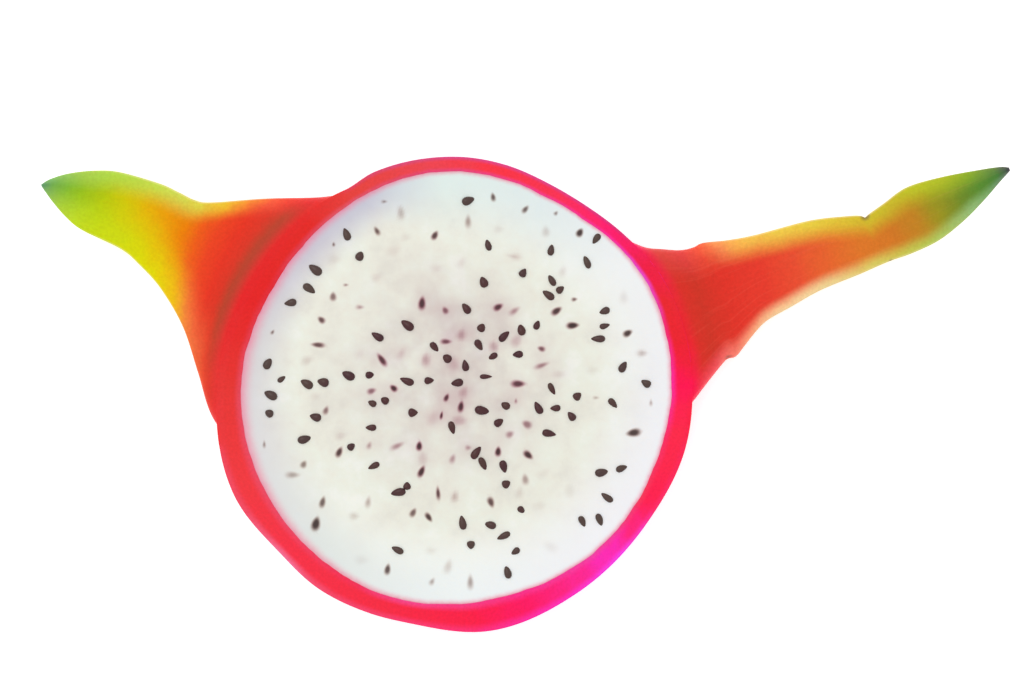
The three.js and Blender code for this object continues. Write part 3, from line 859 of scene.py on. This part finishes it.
def make_small_seeds():
    rng = random.Random(11)
    seeds, found = [], []
    for x, y, degrees, length, width in SMALL_SEEDS:
        bearing = math.radians(degrees)
        centre = Vector((x, y, THICKNESS - rng.uniform(0.05, 0.18)))
        seeds.append((centre, bearing, length, width, rng.uniform(-0.05, 0.15), rng))
        found.append((x, y, bearing, length, width))
    new_piece("small_seeds", make_seed_group(seeds), SEED)
    return found


def scatter_under_seeds():
    """Places for the lower face's seeds, spaced apart: (x, y, bearing, length, width)."""
    rng = random.Random(5)
    places = []
    while len(places) < 2 * UNDER_SEEDS:
        x, y = rng.uniform(-37, 37), rng.uniform(-37, 37)
        if math.hypot(x, y) > 35.5 or any(math.hypot(x - p[0], y - p[1]) < UNDER_SPACING for p in places):
            continue
        length = rng.uniform(1.6, 2.8)
        places.append((x, y, rng.uniform(0, math.tau), length, length * rng.uniform(0.45, 0.7)))
    return places[:UNDER_SEEDS], places[UNDER_SEEDS:]


def make_under_seeds(places):
    """Seeds that the knife shaved level with the lower face."""
    rng = random.Random(6)
    seeds = [
        (Vector((x, y, 0.2)), bearing, length, width, 0.0, rng)
        for x, y, bearing, length, width in places
    ]
    whole = make_seed_group(seeds)
    shaved = -0.01
    for v in whole.verts:
        v.co.z = max(v.co.z, shaved)
    new_piece("under_seeds", whole, SEED)


# ---------------------------------------------------------------------------
# Flesh
# ---------------------------------------------------------------------------

FLESH_STEPS = 150
MAUVE_MIDDLE = Vector((0, 3))
MAUVE_SPREAD = 15  # how far from there the haloes of the sunk seeds fade
HALO_REACH = 1.7
DEEPEST_SHADE = 0.97


def shade_face(verts, seeds, layers, rng):
    """Shadow the verts of one cut face over sunk seeds, given as (x, y, bearing, length, width,
    depth): the deeper a seed, the softer and fainter it shows."""
    tree = KDTree(len(verts))
    for i, v in enumerate(verts):
        tree.insert((v.co.x, v.co.y, 0), i)
    tree.balance()
    for x, y, bearing, length, width, depth in seeds:
        blur = 0.14 + 0.55 * depth
        dark = math.exp(-2.8 * depth**1.8) * rng.uniform(0.94, 1.02)
        axis = Vector((math.cos(bearing), math.sin(bearing)))
        middle = Vector((x, y))
        mauve = 0.3 * math.exp(-(((middle - MAUVE_MIDDLE).length / MAUVE_SPREAD) ** 2))
        soft = max(blur / (width / 2), 0.65)
        for co, i, _ in tree.find_range((x, y, 0), length / 2 + 2 * blur + 2):
            off = co.xy - middle
            a = off.dot(axis)
            b = off.x * axis.y - off.y * axis.x
            # The shadow narrows towards the seed's pointed end.
            narrow = lerp(1.1, 0.75, min(max(a / length + 0.5, 0), 1))
            far = math.hypot(a / (length / 2), b / (width / 2 * narrow))
            near = dark * (1 - ease(1 - soft, 1 + soft, far))
            v = verts[i]
            v[layers["shade"]] = 1 - (1 - v[layers["shade"]]) * (1 - min(near, DEEPEST_SHADE))
            halo = mauve * math.exp(-((off.length / HALO_REACH) ** 2))
            v[layers["halo"]] = 1 - (1 - v[layers["halo"]]) * (1 - halo)


def make_flesh(open_seeds, under_seeds):
    """A disc whose two cut faces are grids, finer over the seeds just under the upper one."""
    bm = bmesh.new()
    bmesh.ops.create_grid(bm, x_segments=FLESH_STEPS, y_segments=FLESH_STEPS, size=1)
    for v in bm.verts:
        x, y = v.co.x, v.co.y
        disc = Vector((x * math.sqrt(1 - y * y / 2), y * math.sqrt(1 - x * x / 2)))
        bearing = math.atan2(disc.y, disc.x)
        v.co = (disc * flesh_reach(bearing)).to_3d()
    lower = list(bm.faces)
    upper = bmesh.ops.duplicate(bm, geom=lower + list(bm.edges) + list(bm.verts))["geom"]
    upper_verts = [g for g in upper if isinstance(g, bmesh.types.BMVert)]
    bmesh.ops.translate(bm, vec=(0, 0, THICKNESS), verts=upper_verts)
    bmesh.ops.bridge_loops(bm, edges=[e for e in bm.edges if e.is_boundary])
    sunk = [(x, y, math.radians(degrees), *rest) for x, y, degrees, *rest in SUNK_SEEDS]
    fine = set()
    for face in bm.faces:
        place = face.calc_center_median()
        if place.z < THICKNESS - 0.01:
            continue
        for x, y, _, length, _, depth in sunk:
            if depth < 0.6 and (place.x - x) ** 2 + (place.y - y) ** 2 < (length / 2 + 0.3 + depth) ** 2:
                fine.update(face.edges)
                break
    bmesh.ops.subdivide_edges(bm, edges=list(fine), cuts=2, use_grid_fill=True)
    bmesh.ops.recalc_face_normals(bm, faces=bm.faces)
    layers = {name: bm.verts.layers.float.new(name) for name in FLESH_LAYERS}
    for v in bm.verts:
        v[layers["rim"]] = flesh_reach(math.atan2(v.co.y, v.co.x)) - v.co.xy.length
    top = [v for v in bm.verts if v.co.z > THICKNESS / 2]
    rng = random.Random(3)
    shade_face(top, sunk, layers, rng)
    under = [(*seed, rng.uniform(0.15, 0.9)) for seed in under_seeds]
    shade_face([v for v in bm.verts if v.co.z < THICKNESS / 2], under, layers, rng)
    # The cut is a little uneven, and dips where it meets the open seeds.
    tree = KDTree(len(open_seeds))
    for i, (x, y, *_) in enumerate(open_seeds):
        tree.insert((x, y, 0), i)
    tree.balance()
    for v in top:
        _, _, gap = tree.find((v.co.x, v.co.y, 0))
        v.co.z -= 0.07 * math.exp(-((gap / 0.9) ** 2))
        swell = noise.noise(v.co / 9) * 0.07 + noise.noise(v.co / 2.2 + Vector((5, 2, 1))) * 0.02
        v.co.z += swell * ease(0, 1.5, v[layers["rim"]])
    return new_piece("flesh", bm, FLESH, ["flesh"])


make_rind()
open_seeds = make_open_seeds()
small_seeds = make_small_seeds()
shaved, near_below = scatter_under_seeds()
make_under_seeds(shaved)
make_flesh(open_seeds + small_seeds, near_below)

# ---------------------------------------------------------------------------
# Stage, light and camera
# ---------------------------------------------------------------------------

VIEW_MIDDLE = (9.9, 8.7)
VIEW_WIDTH = 184.3
LENS, SENSOR = 85.0, 36.0

floor_bm = bmesh.new()
bmesh.ops.create_grid(floor_bm, x_segments=1, y_segments=1, size=1.5)
floor_mesh = bpy.data.meshes.new("floor")
floor_bm.to_mesh(floor_mesh)
floor_bm.free()
floor = bpy.data.objects.new("floor", floor_mesh)
bpy.context.scene.collection.objects.link(floor)
floor.location.z = -0.02 * MM
board, _, board_shader = new_material("pale_board", Roughness=0.9)
board_shader.inputs["Base Color"].default_value = (0.9, 0.9, 0.9, 1)
board_shader.inputs["Emission Color"].default_value = (1, 1, 1, 1)
board_shader.inputs["Emission Strength"].default_value = 0.5
floor_mesh.materials.append(board)

scene = bpy.context.scene
scene.view_settings.view_transform = "Standard"
world = bpy.data.worlds.new("soft_white_room")
world.use_nodes = True
world.node_tree.nodes["Background"].inputs["Color"].default_value = (1, 1, 1, 1)
world.node_tree.nodes["Background"].inputs["Strength"].default_value = 0.86
scene.world = world

lamp = bpy.data.lights.new("soft_box", "AREA")
lamp.shape = "DISK"
lamp.size = 0.5
lamp.energy = 1.1
lamp_object = bpy.data.objects.new("soft_box", lamp)
lamp_object.location = (-0.25, 0.3, 0.6)
lamp_object.rotation_euler = (Vector((0, 0, 0)) - lamp_object.location).to_track_quat("-Z", "Y").to_euler()
scene.collection.objects.link(lamp_object)

camera = bpy.data.cameras.new("camera")
camera.lens = LENS
camera.sensor_width = SENSOR
camera.clip_start = 0.01
camera_object = bpy.data.objects.new("camera", camera)
camera_object.location = (
    VIEW_MIDDLE[0] * MM,
    VIEW_MIDDLE[1] * MM,
    (THICKNESS + VIEW_WIDTH * LENS / SENSOR) * MM,
)
scene.collection.objects.link(camera_object)
scene.camera = camera_object
